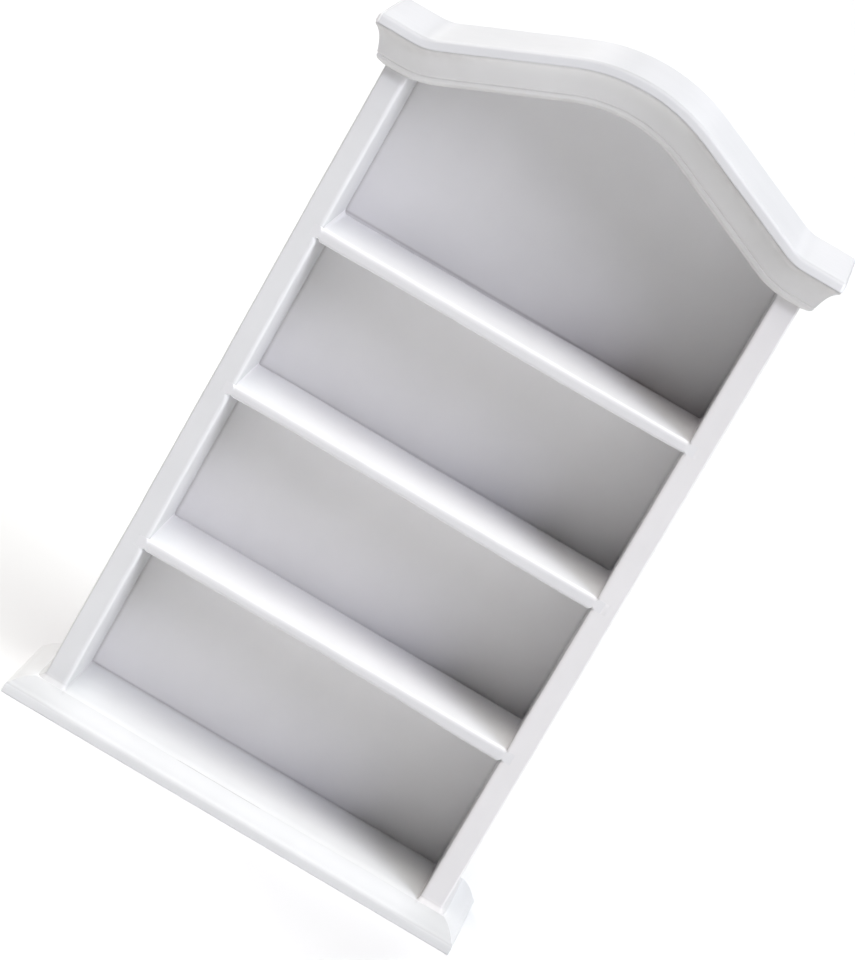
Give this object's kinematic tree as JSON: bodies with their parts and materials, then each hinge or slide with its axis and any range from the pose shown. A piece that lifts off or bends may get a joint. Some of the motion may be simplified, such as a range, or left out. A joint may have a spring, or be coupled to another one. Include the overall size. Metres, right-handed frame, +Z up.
{
  "type": "dolls' house bookcase",
  "caption": "Miniature open bookcase with fixed shelves, an arched serpentine crown over a cove and bead moulding, and a moulded base.",
  "frame": {"origin": "middle of the space the bookcase fills, at floor level under the base board", "axes": "+Z up, +X to the right as the front is faced, front towards -Y and flat back towards +Y"},
  "size_m": [0.102, 0.0304, 0.1689],
  "materials": {
    "case_paint": "satin white paint on 5 mm board",
    "shelf_paint": "satin white paint on thin board",
    "back_paint": "satin white paint, a little flatter, on a thin panel",
    "moulding_paint": "satin white paint on moulded strip"
  },
  "bodies": {
    "root": {"base_board": "case_paint", "base_front_moulding": "moulding_paint", "base_left_moulding": "moulding_paint", "base_right_moulding": "moulding_paint", "left_side_panel": "case_paint", "right_side_panel": "case_paint", "lower_shelf": "shelf_paint", "middle_shelf": "shelf_paint", "upper_shelf": "shelf_paint", "back_panel": "back_paint", "arched_header": "case_paint", "crown_cap": "moulding_paint", "crown_front_moulding": "moulding_paint", "crown_left_return": "moulding_paint", "crown_right_return": "moulding_paint"}
  },
  "joints": []
}
